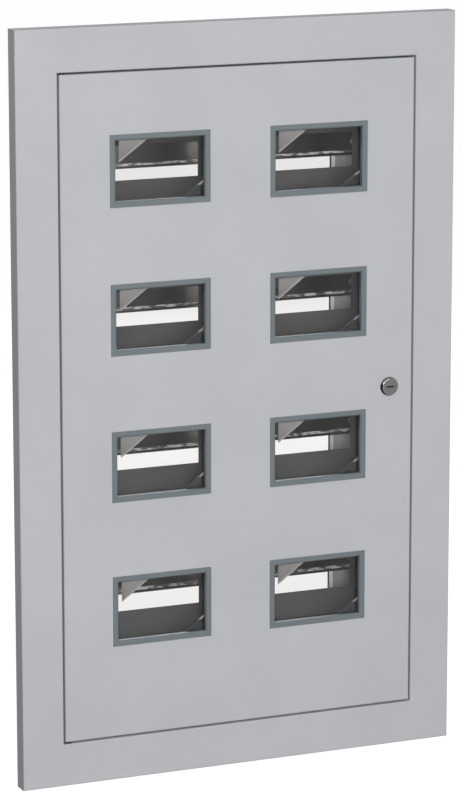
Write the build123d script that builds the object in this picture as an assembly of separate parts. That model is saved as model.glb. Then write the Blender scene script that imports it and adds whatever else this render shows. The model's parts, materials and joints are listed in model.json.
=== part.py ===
"""Flush storey distribution board: trim frame, glazed meter door, inner cover, rails and open-backed body.

X runs to the right, +Y into the wall and +Z up. The origin is the centre of the wall fixing holes, on the
rear face of the body's back flanges. Depths are counted from the front face of the frame and door.
"""

import os

from build123d import *

# Painted sheet steel
SHEET = 1.5
BEND = 2.0

# Trim frame: a hat section with a stop lip for the door
FRAME_WIDTH = 620.0
FRAME_HEIGHT = 1000.0
FRAME_BORDER = 57.0
FRAME_DEPTH = 24.0
STOP_LIP = 24.0

# Door tray, flush with the frame
DOOR_GAP = 2.5
DOOR_DEPTH = 20.0
DOOR_RETURN = 18.5
TRAY_EDGE = 8.0

# Seal strip on the stop lip
SEAL_INSET = 13.0
SEAL_WIDTH = 7.0
SEAL_GAP = 0.3
SEAL_ROUND = 0.8

# Body of four folded panels with an open back
BODY_DEPTH = 166.0
BODY_OVERLAP = 3.0
FRONT_FLANGE = 25.0
BACK_FLANGE = 49.0
SEAM = 0.1

# Wall fixing holes in the back flanges
FIXING_RADIUS = 4.5
FIXING_INSET = 21.0
FIXING_DROP = 31.0

# Edge trim round the open back
TRIM_WALL = 2.0
TRIM_LEG = 3.5
TRIM_FIT = 0.05

# Screws that hold the frame to the body
FRAME_SCREW_INSET = 6.0
FRAME_SCREW_RADIUS = 2.4
FRAME_SCREW_HEAD = 4.5
FRAME_SCREW_CONE = 2.0
FRAME_SCREW_LENGTH = 9.0
FRAME_NUT_FLATS = 8.0
FRAME_NUT_HEIGHT = 4.0
FRAME_SCREW_SIDE_COUNT = 4
FRAME_SCREW_SIDE_PITCH = 240.0
FRAME_SCREW_TOP_COUNT = 2
FRAME_SCREW_TOP_PITCH = 300.0

# Meter windows
WINDOW_COLUMN_PITCH = 225.0
WINDOW_ROW_PITCH = 194.5
WINDOW_RISE = 21.5
WINDOW_COLUMNS = 2
WINDOW_ROWS = 4
WINDOW_WIDTH = 127.6
WINDOW_HEIGHT = 82.1
BEZEL_FACE = 6.2
BEZEL_PROUD = 1.0
BEZEL_NECK = 2.7
BEZEL_ROUND = 0.5
BEZEL_BEVEL = 1.5
NECK_FIT = 0.25
PANE_RECESS = 6.0
PANE_THICKNESS = 2.8
PANE_PLAY = 0.2
PANE_REBATE = 1.1
PANE_FIT = 0.2

# Triangular pane clips, hooked over the neck of the bezel
CLIP_LENGTH = 48.4
CLIP_HEIGHT = 35.0
CLIP_SHEET = 1.2
CLIP_SHIFT = 11.4
CLIP_FIT = 0.1
HOOK_START = 14.0
HOOK_WIDTH = 24.0
HOOK_DEPTH = 5.0

# Inner cover with a modular slot behind each window
FASCIA_FRONT = 93.5
FASCIA_SHEET = 1.2
FASCIA_FOLD = 12.0
FASCIA_CLEARANCE = 3.0
SLOT_WIDTH = 183.0
SLOT_HEIGHT = 47.0
SLOT_DROP = 3.7
PILLAR_FLATS = 8.0
PILLAR_INSET = 9.0
PILLAR_END_INSET = 16.0
PILLAR_BORE = 2.1
PILLAR_BORE_DEPTH = 12.0
FASCIA_SCREW_RADIUS = 2.0
FASCIA_SCREW_LENGTH = 9.0
FASCIA_SCREW_HEAD = 4.0
FASCIA_SCREW_HEAD_HEIGHT = 2.5

# Hat rails, 35 mm wide
RAIL_WIDTH = 35.0
RAIL_CHANNEL = 27.0
RAIL_DEPTH = 7.5
RAIL_SHEET = 1.0
RAIL_BEND = 0.8
RAIL_END_GAP = 4.5
RAIL_DROP = 3.9
RAIL_SPACER = 2.5
RAIL_SPACER_RADIUS = 6.0
RAIL_SCREW_INSET = 14.0
RAIL_SCREW_RADIUS = 2.4
RAIL_SCREW_HEAD = 4.5
RAIL_SCREW_HEAD_HEIGHT = 3.0

# Neutral and earth bars on the lower back flange
BAR_LENGTH = 150.0
BAR_HEIGHT = 10.0
BAR_DEPTH = 8.0
BAR_OFFSET = 95.0
BAR_STAND = 18.0
BAR_SUPPORT_WIDTH = 14.0
BAR_SUPPORT_HEIGHT = 18.0
BAR_SUPPORT_PITCH = 120.0
BAR_SUPPORT_CHAMFER = 1.5
BAR_HOLE_RADIUS = 2.6
BAR_SCREW_COUNT = 7
BAR_SCREW_PITCH = 14.0
BAR_SCREW_RADIUS = 2.8
BAR_SCREW_HEIGHT = 2.5

# Earth studs
BODY_STUD_RADIUS = 4.0
BODY_STUD_LENGTH = 20.0
BODY_STUD_GAP = 18.0
DOOR_STUD_RADIUS = 3.0
DOOR_STUD_LENGTH = 15.0
DOOR_STUD_INSET = 35.0
WASHER_FACTOR = 2.0
WASHER_HEIGHT = 1.6
NUT_FLATS_FACTOR = 3.25
NUT_HEIGHT_FACTOR = 1.6

# Fits shared by holes and what passes through them
SCREW_FIT = 0.2
PIN_FIT = 0.05

# Hidden pivots at the left edge of the door
PIVOT_INSET = 5.0
PIN_RADIUS = 2.5
PIN_HEAD_RADIUS = 3.0
PIN_HEAD_HEIGHT = 2.0
PIN_REACH = 16.0
BLOCK_WIDTH = 12.0
BLOCK_DEPTH = 11.0
BLOCK_HEIGHT = 20.0
BLOCK_CHAMFER = 1.0
HINGE_HOLE_FIT = 0.5
HINGE_WASHER_RADIUS = 4.5
HINGE_WASHER_GAP = 0.1

# Cam lock
LOCK_INSET = 33.7
LOCK_Z = 0.0
LOCK_HEAD_RADIUS = 12.75
LOCK_HEAD_HEIGHT = 4.8
LOCK_HEAD_EDGE = 0.8
LOCK_RIM_RADIUS = 10.2
LOCK_BARREL_RADIUS = 9.3
LOCK_FLATS = 16.0
LOCK_BARREL_END = 24.0
LOCK_PLUG_RADIUS = 8.0
PLUG_RECESS = 0.3
PLUG_CAP_RADIUS = 9.6
PLUG_CAP_THICKNESS = 1.6
KEY_SLOT_LENGTH = 10.5
KEY_SLOT_WIDTH = 2.0
KEY_SLOT_DEPTH = 9.0
LOCK_NUT_FLATS = 24.0
LOCK_NUT_HEIGHT = 5.0
CAM_CLEARANCE = 0.7
CAM_THICKNESS = 2.5
CAM_WIDTH = 16.0
CAM_REACH = 34.0
CAM_SQUARE = 8.0
CAM_FIT = 0.05
CAM_SCREW_FLATS = 10.0
CAM_SCREW_HEIGHT = 3.5
CAM_SCREW_RADIUS = 2.5
CAM_SCREW_LENGTH = 8.0

# Sizes that follow from the driving dimensions
OPENING_WIDTH = FRAME_WIDTH - 2 * FRAME_BORDER
OPENING_HEIGHT = FRAME_HEIGHT - 2 * FRAME_BORDER
DOOR_WIDTH = OPENING_WIDTH - 2 * DOOR_GAP
DOOR_HEIGHT = OPENING_HEIGHT - 2 * DOOR_GAP
STOP_FRONT = FRAME_DEPTH - SHEET
BODY_WIDTH = OPENING_WIDTH + 2 * BODY_OVERLAP
BODY_HEIGHT = OPENING_HEIGHT + 2 * BODY_OVERLAP
BODY_RIGHT = BODY_WIDTH / 2
BODY_TOP = BODY_HEIGHT / 2
BODY_FRONT = FRAME_DEPTH
BACK_FLANGE_FRONT = BODY_DEPTH - SHEET
BACK_OPENING_WIDTH = BODY_WIDTH - 2 * BACK_FLANGE
BACK_OPENING_HEIGHT = BODY_HEIGHT - 2 * BACK_FLANGE
FASCIA_WIDTH = OPENING_WIDTH - 2 * STOP_LIP - 2 * FASCIA_CLEARANCE
FASCIA_HEIGHT = OPENING_HEIGHT - 2 * STOP_LIP - 2 * FASCIA_CLEARANCE
RAIL_REAR = BACK_FLANGE_FRONT - RAIL_SPACER
RAIL_FRONT = RAIL_REAR - RAIL_DEPTH
RAIL_LENGTH = BODY_WIDTH - 2 * SHEET - 2 * RAIL_END_GAP
RAIL_SCREW_X = RAIL_LENGTH / 2 - RAIL_SCREW_INSET
BEZEL_REAR = PANE_RECESS + PANE_THICKNESS + PANE_PLAY
BAR_Z = (BACK_FLANGE - SHEET) / 2 + SHEET - BODY_TOP
BODY_STUD_X = BAR_OFFSET + BAR_LENGTH / 2 + BODY_STUD_GAP
PIVOT_X = PIVOT_INSET - DOOR_WIDTH / 2
PIVOT_Y = PIVOT_INSET - BODY_DEPTH
LOCK_X = DOOR_WIDTH / 2 - LOCK_INSET
PLUG_FRONT = PLUG_RECESS - LOCK_HEAD_HEIGHT
CAM_FRONT = BODY_FRONT + SHEET + CAM_CLEARANCE


def depth_plane(depth):
    """Plane parallel to the front face, at a depth behind it, drawn as seen from the front."""
    return Plane(origin=(0, depth - BODY_DEPTH, 0), x_dir=(1, 0, 0), z_dir=(0, -1, 0))


def slab(outline, front, thickness):
    """Extrude an outline drawn in the front view, from one depth to another."""
    return extrude(depth_plane(front + thickness) * outline, thickness)


def rod(x, z, front, length, radius):
    """Round bar along the depth."""
    return slab(Pos(x, z) * Circle(radius), front, length)


def hexagon(x, z, front, height, flats):
    """Hexagonal bar along the depth."""
    return slab(Pos(x, z) * RegularPolygon(flats / 2, 6, major_radius=False), front, height)


def turned(points, x, z):
    """Turn a profile of (radius, depth) points about an axis along the depth."""
    outline = Polyline(*[(radius, depth - BODY_DEPTH) for radius, depth in points], close=True)
    return Pos(x, 0, z) * revolve(make_face(outline), Axis.Y)


def fold(points, thickness, bend):
    """Section of a folded sheet that lies to the left of the line through the points."""
    return make_face(offset(FilletPolyline(*points, radius=bend), amount=thickness, side=Side.LEFT))


def mitred_side(section, distance, half_length):
    """Straight length of a section at a distance from the middle, mitred at both ends."""
    spare = section.bounding_box().max.X
    side = extrude(Pos(distance, -BODY_DEPTH, 0) * section, half_length + spare, both=True)
    for end in (-1, 1):
        mitre = Plane(origin=(distance, 0, end * half_length), z_dir=(-1, 0, end))
        side = split(side, bisect_by=mitre, keep=Keep.BOTTOM)
    return side


def ring(section, width, height):
    """Carry a section of (outward, depth) points round a rectangle, with mitred corners."""
    right = mitred_side(section, width / 2, height / 2)
    top = Rot(0, -90, 0) * mitred_side(section, height / 2, width / 2)
    return right + top + mirror(right, Plane.YZ) + mirror(top, Plane.XY)


def tray(width, height, front, depth, thickness, back_return):
    """Folded tray that faces the front, with flanges and, where asked, returns behind them."""
    points = [(-TRAY_EDGE, front), (0, front), (0, front + depth)]
    if back_return:
        points.append((-back_return, front + depth))
    edges = ring(fold(points, thickness, BEND), width, height)
    face = Rectangle(width - 2 * TRAY_EDGE, height - 2 * TRAY_EDGE)
    return edges + slab(face, front, thickness)


def spread(count, pitch):
    """Places of a row of like things, about its middle."""
    return [pitch * (step - (count - 1) / 2) for step in range(count)]


def window_centres():
    """Centres of the windows, row by row from the top left."""
    rows = [WINDOW_RISE - drop for drop in spread(WINDOW_ROWS, WINDOW_ROW_PITCH)]
    columns = spread(WINDOW_COLUMNS, WINDOW_COLUMN_PITCH)
    return [(x, z) for z in rows for x in columns]


def rail_heights():
    """Height of each rail's centre, one rail behind each row of windows."""
    return [z - RAIL_DROP for x, z in window_centres()[::WINDOW_COLUMNS]]


def rail_screw_places():
    """Screw at each end of each rail."""
    return [(x, z) for z in rail_heights() for x in (-RAIL_SCREW_X, RAIL_SCREW_X)]


def frame_screw_places():
    """Screws along the stop lip: two pairs on each side, one pair above and one below."""
    side_x = OPENING_WIDTH / 2 - FRAME_SCREW_INSET
    end_z = OPENING_HEIGHT / 2 - FRAME_SCREW_INSET
    heights = spread(FRAME_SCREW_SIDE_COUNT, FRAME_SCREW_SIDE_PITCH)
    across = spread(FRAME_SCREW_TOP_COUNT, FRAME_SCREW_TOP_PITCH)
    sides = [(x, z) for x in (-side_x, side_x) for z in heights]
    ends = [(x, z) for x in across for z in (-end_z, end_z)]
    return sides + ends


def pillar_places():
    """Cover pillars beside the open back, at both ends and half way up."""
    x = BACK_OPENING_WIDTH / 2 + PILLAR_INSET
    top = FASCIA_HEIGHT / 2 - PILLAR_END_INSET
    return [(side * x, z) for side in (-1, 1) for z in (-top, 0, top)]


def fixing_places():
    """Wall fixing holes near the corners of the back flanges."""
    x, z = BODY_RIGHT - FIXING_INSET, BODY_TOP - FIXING_DROP
    return [(-x, -z), (x, -z), (-x, z), (x, z)]


def bar_screw_places(centre):
    """Terminal screws along one bar."""
    return [centre + step for step in spread(BAR_SCREW_COUNT, BAR_SCREW_PITCH)]


def make_front_frame():
    points = [
        (-STOP_LIP, STOP_FRONT),
        (0, STOP_FRONT),
        (0, 0),
        (FRAME_BORDER, 0),
        (FRAME_BORDER, FRAME_DEPTH),
    ]
    frame = ring(fold(points, SHEET, BEND), OPENING_WIDTH, OPENING_HEIGHT)
    for x, z in frame_screw_places():
        frame -= countersink(x, z, SCREW_FIT)
    pin_hole = Cylinder(PIN_RADIUS + PIN_FIT, OPENING_HEIGHT + 4 * SHEET)
    return frame - Pos(PIVOT_X, PIVOT_Y, 0) * pin_hole


def countersink(x, z, fit):
    """Countersunk head and shank of a frame screw, or with a fit the hole for it."""
    head = FRAME_SCREW_HEAD + fit
    shank = FRAME_SCREW_RADIUS + fit
    end = STOP_FRONT + FRAME_SCREW_LENGTH
    cone_end = STOP_FRONT + FRAME_SCREW_CONE
    points = [(0, STOP_FRONT), (head, STOP_FRONT), (shank, cone_end), (shank, end), (0, end)]
    return turned(points, x, z)


def make_frame_screws():
    return [countersink(x, z, 0) for x, z in frame_screw_places()]


def make_frame_nuts():
    front = BODY_FRONT + SHEET
    nuts = []
    for x, z in frame_screw_places():
        nut = hexagon(x, z, front, FRAME_NUT_HEIGHT, FRAME_NUT_FLATS)
        nuts.append(nut - rod(x, z, front, FRAME_NUT_HEIGHT, FRAME_SCREW_RADIUS + PIN_FIT))
    return nuts


def body_section(outer):
    """Section of a body panel, as (outward, depth) points with its wall at the given distance."""
    points = [
        (outer - FRONT_FLANGE, BODY_FRONT),
        (outer, BODY_FRONT),
        (outer, BODY_DEPTH),
        (outer - BACK_FLANGE, BODY_DEPTH),
    ]
    return Pos(0, -BODY_DEPTH) * fold(points, SHEET, BEND)


def body_holes(panel):
    """Bore a body panel for the frame screws, rails and wall fixings that meet it."""
    for x, z in frame_screw_places():
        panel -= countersink(x, z, SCREW_FIT)
    for x, z in rail_screw_places():
        panel -= rod(x, z, BACK_FLANGE_FRONT, SHEET, RAIL_SCREW_RADIUS + SCREW_FIT)
    for x, z in fixing_places():
        panel -= rod(x, z, BACK_FLANGE_FRONT, SHEET, FIXING_RADIUS)
    return panel


def make_body_right_side():
    panel = extrude(body_section(BODY_RIGHT), BODY_HEIGHT / 2, both=True)
    return body_holes(panel)


def make_body_left_side():
    return mirror(make_body_right_side(), Plane.YZ)


def make_body_top():
    length = BODY_WIDTH - 2 * SHEET - 2 * SEAM
    across = Plane(origin=(0, 0, 0), x_dir=(0, 0, 1), z_dir=(-1, 0, 0))
    panel = extrude(across * body_section(BODY_TOP), length / 2, both=True)
    flanges = ((FRONT_FLANGE, BODY_FRONT), (BACK_FLANGE, BODY_DEPTH - BEND))
    for flange, front in flanges:
        inner = BODY_WIDTH - 2 * flange - 2 * SEAM
        corner = Rectangle(BODY_WIDTH, 2 * BODY_HEIGHT) - Rectangle(inner, 2 * BODY_HEIGHT)
        panel -= slab(corner, front, BEND)
    return body_holes(panel)


def make_body_bottom():
    return mirror(make_body_top(), Plane.XY)


def make_back_edge_trim():
    front = BACK_FLANGE_FRONT - TRIM_WALL
    rear = BODY_DEPTH + TRIM_WALL
    throat = TRIM_WALL - TRIM_FIT
    reach = TRIM_WALL + TRIM_LEG
    points = [
        (0, front),
        (reach, front),
        (reach, BACK_FLANGE_FRONT - TRIM_FIT),
        (throat, BACK_FLANGE_FRONT - TRIM_FIT),
        (throat, BODY_DEPTH + TRIM_FIT),
        (reach, BODY_DEPTH + TRIM_FIT),
        (reach, rear),
        (0, rear),
    ]
    width = BACK_OPENING_WIDTH - 2 * TRIM_WALL
    height = BACK_OPENING_HEIGHT - 2 * TRIM_WALL
    return ring(make_face(Polyline(*points, close=True)), width, height)


def make_door_seal():
    front = DOOR_DEPTH + SEAL_GAP
    points = [(-SEAL_WIDTH, STOP_FRONT), (-SEAL_WIDTH, front), (0, front), (0, STOP_FRONT)]
    section = make_face(Polyline(*points, close=True))
    section = fillet(section.vertices().group_by(Axis.Y)[0], SEAL_ROUND)
    return ring(section, OPENING_WIDTH - 2 * SEAL_INSET, OPENING_HEIGHT - 2 * SEAL_INSET)


def make_din_rail(height):
    lip = RAIL_WIDTH / 2
    wall = RAIL_CHANNEL / 2
    lip_rear = RAIL_FRONT + RAIL_SHEET
    points = [
        (lip, lip_rear),
        (wall, lip_rear),
        (wall, RAIL_REAR),
        (-wall, RAIL_REAR),
        (-wall, lip_rear),
        (-lip, lip_rear),
    ]
    across = Plane(origin=(0, -BODY_DEPTH, height), x_dir=(0, 0, 1), z_dir=(-1, 0, 0))
    section = across * fold(points, RAIL_SHEET, RAIL_BEND)
    rail = extrude(section, RAIL_LENGTH / 2, both=True)
    for x in (-RAIL_SCREW_X, RAIL_SCREW_X):
        rail -= rod(x, height, RAIL_FRONT, RAIL_DEPTH, RAIL_SCREW_RADIUS + SCREW_FIT)
    return rail


def make_rail_spacers():
    spacers = []
    for x, z in rail_screw_places():
        spacer = rod(x, z, RAIL_REAR, RAIL_SPACER, RAIL_SPACER_RADIUS)
        spacers.append(spacer - rod(x, z, RAIL_REAR, RAIL_SPACER, RAIL_SCREW_RADIUS + SCREW_FIT))
    return spacers


def make_rail_screws():
    web = RAIL_REAR - RAIL_SHEET
    top = web - RAIL_SCREW_HEAD_HEIGHT
    points = [
        (0, top),
        (RAIL_SCREW_HEAD, top),
        (RAIL_SCREW_HEAD, web),
        (RAIL_SCREW_RADIUS, web),
        (RAIL_SCREW_RADIUS, BODY_DEPTH),
        (0, BODY_DEPTH),
    ]
    return [turned(points, x, z) for x, z in rail_screw_places()]


def make_fascia_panel():
    panel = tray(FASCIA_WIDTH, FASCIA_HEIGHT, FASCIA_FRONT, FASCIA_FOLD, FASCIA_SHEET, 0)
    for x, z in window_centres():
        slot = Pos(x, z - SLOT_DROP) * Rectangle(SLOT_WIDTH, SLOT_HEIGHT)
        panel -= slab(slot, FASCIA_FRONT, FASCIA_SHEET)
    for x, z in pillar_places():
        panel -= rod(x, z, FASCIA_FRONT, FASCIA_SHEET, FASCIA_SCREW_RADIUS + SCREW_FIT)
    return panel


def make_fascia_pillars():
    front = FASCIA_FRONT + FASCIA_SHEET
    pillars = []
    for x, z in pillar_places():
        pillar = hexagon(x, z, front, BACK_FLANGE_FRONT - front, PILLAR_FLATS)
        pillars.append(pillar - rod(x, z, front, PILLAR_BORE_DEPTH, PILLAR_BORE))
    return pillars


def make_fascia_screws():
    top = FASCIA_FRONT - FASCIA_SCREW_HEAD_HEIGHT
    end = FASCIA_FRONT + FASCIA_SCREW_LENGTH
    points = [
        (0, top),
        (FASCIA_SCREW_HEAD, top),
        (FASCIA_SCREW_HEAD, FASCIA_FRONT),
        (FASCIA_SCREW_RADIUS, FASCIA_FRONT),
        (FASCIA_SCREW_RADIUS, end),
        (0, end),
    ]
    return [turned(points, x, z) for x, z in pillar_places()]


def bar_supports(centre):
    """Pair of blocks on the lower back flange that carry one bar."""
    outline = Rectangle(BAR_SUPPORT_WIDTH, BAR_SUPPORT_HEIGHT)
    outline = chamfer(outline.vertices(), BAR_SUPPORT_CHAMFER)
    places = [centre + step for step in spread(2, BAR_SUPPORT_PITCH)]
    return [slab(Pos(x, BAR_Z) * outline, BACK_FLANGE_FRONT - BAR_STAND, BAR_STAND) for x in places]


def terminal_bar(centre):
    """Bar with an upright wire hole behind each terminal screw."""
    front = BACK_FLANGE_FRONT - BAR_STAND - BAR_DEPTH
    bar = slab(Pos(centre, BAR_Z) * Rectangle(BAR_LENGTH, BAR_HEIGHT), front, BAR_DEPTH)
    middle = front + BAR_DEPTH / 2 - BODY_DEPTH
    for x in bar_screw_places(centre):
        bar -= Pos(x, middle, BAR_Z) * Cylinder(BAR_HOLE_RADIUS, BAR_HEIGHT)
    return bar


def make_bar_screws():
    front = BACK_FLANGE_FRONT - BAR_STAND - BAR_DEPTH - BAR_SCREW_HEIGHT
    places = bar_screw_places(-BAR_OFFSET) + bar_screw_places(BAR_OFFSET)
    return [rod(x, BAR_Z, front, BAR_SCREW_HEIGHT, BAR_SCREW_RADIUS) for x in places]


def earth_stud(x, z, root, length, radius, facing):
    """Stud on a sheet with its washer and nut; facing is -1 towards the front and 1 towards the back."""
    nut_height = NUT_HEIGHT_FACTOR * radius

    def start(rise, height):
        return root - rise - height if facing < 0 else root + rise

    bore = rod(x, z, start(0, length), length, radius + PIN_FIT)
    washer = rod(x, z, start(0, WASHER_HEIGHT), WASHER_HEIGHT, WASHER_FACTOR * radius)
    nut = hexagon(x, z, start(WASHER_HEIGHT, nut_height), nut_height, NUT_FLATS_FACTOR * radius)
    return [rod(x, z, start(0, length), length, radius), washer - bore, nut - bore]


def make_door_panel():
    door = tray(DOOR_WIDTH, DOOR_HEIGHT, 0, DOOR_DEPTH, SHEET, DOOR_RETURN)
    grow = 2 * (BEZEL_NECK + NECK_FIT)
    for x, z in window_centres():
        cut = Pos(x, z) * Rectangle(WINDOW_WIDTH + grow, WINDOW_HEIGHT + grow)
        door -= slab(cut, 0, SHEET)
    door -= slab(Pos(LOCK_X, LOCK_Z) * lock_outline(SCREW_FIT), 0, SHEET)
    pin_hole = Cylinder(PIN_RADIUS + HINGE_HOLE_FIT, DOOR_HEIGHT + 2 * SHEET)
    return door - Pos(PIVOT_X, PIVOT_Y, 0) * pin_hole


def make_hinge_block_upper():
    left = SHEET - DOOR_WIDTH / 2
    top = DOOR_HEIGHT / 2 - SHEET
    centre = (left + BLOCK_WIDTH / 2, SHEET + BLOCK_DEPTH / 2 - BODY_DEPTH, top - BLOCK_HEIGHT / 2)
    block = Pos(*centre) * Box(BLOCK_WIDTH, BLOCK_DEPTH, BLOCK_HEIGHT)
    block = chamfer(block.edges(), BLOCK_CHAMFER)
    bore = Cylinder(PIN_RADIUS + PIN_FIT, BLOCK_HEIGHT)
    return block - Pos(PIVOT_X, PIVOT_Y, top - BLOCK_HEIGHT / 2) * bore


def make_hinge_pin_upper():
    seat = OPENING_HEIGHT / 2 + SHEET
    end = DOOR_HEIGHT / 2 - SHEET - PIN_REACH
    shank = Pos(PIVOT_X, PIVOT_Y, (seat + end) / 2) * Cylinder(PIN_RADIUS, seat - end)
    head = Pos(PIVOT_X, PIVOT_Y, seat + PIN_HEAD_HEIGHT / 2) * Cylinder(PIN_HEAD_RADIUS, PIN_HEAD_HEIGHT)
    return shank + head


def make_hinge_washer():
    height = DOOR_GAP - HINGE_WASHER_GAP
    washer = Cylinder(HINGE_WASHER_RADIUS, height) - Cylinder(PIN_RADIUS + PIN_FIT, height)
    return Pos(PIVOT_X, PIVOT_Y, height / 2 - OPENING_HEIGHT / 2) * washer


def make_window_bezel(x, z):
    points = [
        (0, -BEZEL_PROUD),
        (BEZEL_FACE, -BEZEL_PROUD),
        (BEZEL_FACE, 0),
        (BEZEL_NECK, 0),
        (BEZEL_NECK, BEZEL_REAR),
        (PANE_REBATE, BEZEL_REAR),
        (PANE_REBATE, PANE_RECESS),
        (-BEZEL_BEVEL, PANE_RECESS),
        (-BEZEL_BEVEL, BEZEL_BEVEL - BEZEL_PROUD),
    ]
    section = make_face(Polyline(*points, close=True))
    section = fillet(section.vertices().group_by(Axis.Y)[0], BEZEL_ROUND)
    return Pos(x, 0, z) * ring(section, WINDOW_WIDTH, WINDOW_HEIGHT)


def make_window_pane(x, z):
    grow = 2 * (PANE_REBATE - PANE_FIT)
    outline = Pos(x, z) * Rectangle(WINDOW_WIDTH + grow, WINDOW_HEIGHT + grow)
    return slab(outline, PANE_RECESS, PANE_THICKNESS)


def make_pane_clips(x, z):
    """Upper left and lower right clip of one window."""
    neck_top = WINDOW_HEIGHT / 2 + BEZEL_NECK + CLIP_FIT
    top = neck_top + CLIP_SHEET
    left = CLIP_SHEET - WINDOW_WIDTH / 2 - BEZEL_NECK
    corners = [(left, top), (left, top - CLIP_HEIGHT), (left + CLIP_LENGTH, top)]
    plate = slab(make_face(Polyline(*corners, close=True)), BEZEL_REAR, CLIP_SHEET)
    hook_x = left + HOOK_START + HOOK_WIDTH / 2
    hook = Pos(hook_x, neck_top + CLIP_SHEET / 2) * Rectangle(HOOK_WIDTH, CLIP_SHEET)
    clip = plate + slab(hook, BEZEL_REAR - HOOK_DEPTH, HOOK_DEPTH)
    place = Pos(x + CLIP_SHIFT, 0, z)
    return [place * clip, place * Rot(0, 180, 0) * clip]


def lock_outline(fit):
    """Round barrel with two flats."""
    return Circle(LOCK_BARREL_RADIUS + fit) & Rectangle(4 * LOCK_BARREL_RADIUS, LOCK_FLATS + 2 * fit)


def make_lock_housing():
    bore = LOCK_PLUG_RADIUS + PIN_FIT
    recess = PLUG_CAP_RADIUS + PIN_FIT
    seat = PLUG_FRONT + PLUG_CAP_THICKNESS + PIN_FIT
    points = [
        (bore, seat),
        (recess, seat),
        (recess, -LOCK_HEAD_HEIGHT),
        (LOCK_RIM_RADIUS, -LOCK_HEAD_HEIGHT),
        (LOCK_HEAD_RADIUS, -LOCK_HEAD_EDGE),
        (LOCK_HEAD_RADIUS, 0),
        (bore, 0),
    ]
    head = turned(points, LOCK_X, LOCK_Z)
    barrel = slab(Pos(LOCK_X, LOCK_Z) * (lock_outline(0) - Circle(bore)), 0, LOCK_BARREL_END)
    return head + barrel


def make_lock_nut():
    nut = hexagon(LOCK_X, LOCK_Z, SHEET, LOCK_NUT_HEIGHT, LOCK_NUT_FLATS)
    return nut - rod(LOCK_X, LOCK_Z, SHEET, LOCK_NUT_HEIGHT, LOCK_BARREL_RADIUS + PIN_FIT)


def make_lock_plug():
    plug = rod(LOCK_X, LOCK_Z, PLUG_FRONT, PLUG_CAP_THICKNESS, PLUG_CAP_RADIUS)
    plug += rod(LOCK_X, LOCK_Z, PLUG_FRONT, CAM_FRONT - PLUG_FRONT, LOCK_PLUG_RADIUS)
    square = Pos(LOCK_X, LOCK_Z) * Rectangle(CAM_SQUARE, CAM_SQUARE)
    plug += slab(square, CAM_FRONT, CAM_THICKNESS)
    slot = Pos(LOCK_X, LOCK_Z) * Rectangle(KEY_SLOT_LENGTH, KEY_SLOT_WIDTH)
    plug -= slab(slot, PLUG_FRONT, KEY_SLOT_DEPTH)
    rear = CAM_FRONT + CAM_THICKNESS
    return plug - rod(LOCK_X, LOCK_Z, rear - CAM_SCREW_LENGTH, CAM_SCREW_LENGTH, CAM_SCREW_RADIUS + PIN_FIT)


def make_lock_cam():
    """Cam that hangs straight down when the door is unlocked."""
    outline = Circle(CAM_WIDTH / 2) + Pos(0, -CAM_REACH / 2) * Rectangle(CAM_WIDTH, CAM_REACH)
    outline -= Rectangle(CAM_SQUARE + 2 * CAM_FIT, CAM_SQUARE + 2 * CAM_FIT)
    return slab(Pos(LOCK_X, LOCK_Z) * outline, CAM_FRONT, CAM_THICKNESS)


def make_cam_screw():
    rear = CAM_FRONT + CAM_THICKNESS
    head = hexagon(LOCK_X, LOCK_Z, rear, CAM_SCREW_HEIGHT, CAM_SCREW_FLATS)
    return head + rod(LOCK_X, LOCK_Z, rear - CAM_SCREW_LENGTH, CAM_SCREW_LENGTH, CAM_SCREW_RADIUS)


def make_parts():
    """Every piece by name; a list is a group of like pieces."""
    stud_x = DOOR_STUD_INSET - DOOR_WIDTH / 2
    stud_z = DOOR_STUD_INSET - DOOR_HEIGHT / 2
    parts = {
        "front_frame": make_front_frame(),
        "body_left_side": make_body_left_side(),
        "body_right_side": make_body_right_side(),
        "body_top": make_body_top(),
        "body_bottom": make_body_bottom(),
        "back_edge_trim": make_back_edge_trim(),
        "frame_screws": make_frame_screws(),
        "frame_nuts": make_frame_nuts(),
        "door_seal": make_door_seal(),
        "rail_spacers": make_rail_spacers(),
        "rail_screws": make_rail_screws(),
        "fascia_panel": make_fascia_panel(),
        "fascia_pillars": make_fascia_pillars(),
        "fascia_screws": make_fascia_screws(),
        "n_bar": terminal_bar(-BAR_OFFSET),
        "pe_bar": terminal_bar(BAR_OFFSET),
        "n_insulators": bar_supports(-BAR_OFFSET),
        "pe_supports": bar_supports(BAR_OFFSET),
        "bar_screws": make_bar_screws(),
        "body_earth_stud": earth_stud(
            BODY_STUD_X, BAR_Z, BACK_FLANGE_FRONT, BODY_STUD_LENGTH, BODY_STUD_RADIUS, -1
        ),
        "hinge_pin_upper": make_hinge_pin_upper(),
        "hinge_pin_lower": mirror(make_hinge_pin_upper(), Plane.XY),
        "hinge_washer": make_hinge_washer(),
        "door_panel": make_door_panel(),
        "hinge_block_upper": make_hinge_block_upper(),
        "hinge_block_lower": mirror(make_hinge_block_upper(), Plane.XY),
        "door_earth_stud": earth_stud(stud_x, stud_z, SHEET, DOOR_STUD_LENGTH, DOOR_STUD_RADIUS, 1),
        "lock_housing": make_lock_housing(),
        "lock_nut": make_lock_nut(),
        "lock_plug": make_lock_plug(),
        "lock_cam": make_lock_cam(),
        "cam_screw": make_cam_screw(),
    }
    for number, height in enumerate(rail_heights(), 1):
        parts[f"din_rail_{number}"] = make_din_rail(height)
    for number, (x, z) in enumerate(window_centres(), 1):
        parts[f"window_bezel_{number}"] = make_window_bezel(x, z)
        parts[f"window_pane_{number}"] = make_window_pane(x, z)
        parts[f"pane_clips_{number}"] = make_pane_clips(x, z)
    return parts


def main():
    os.makedirs("parts", exist_ok=True)
    for name, piece in make_parts().items():
        shape = Compound(children=piece) if isinstance(piece, list) else piece
        export_step(shape, f"parts/{name}.step")


main()
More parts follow.
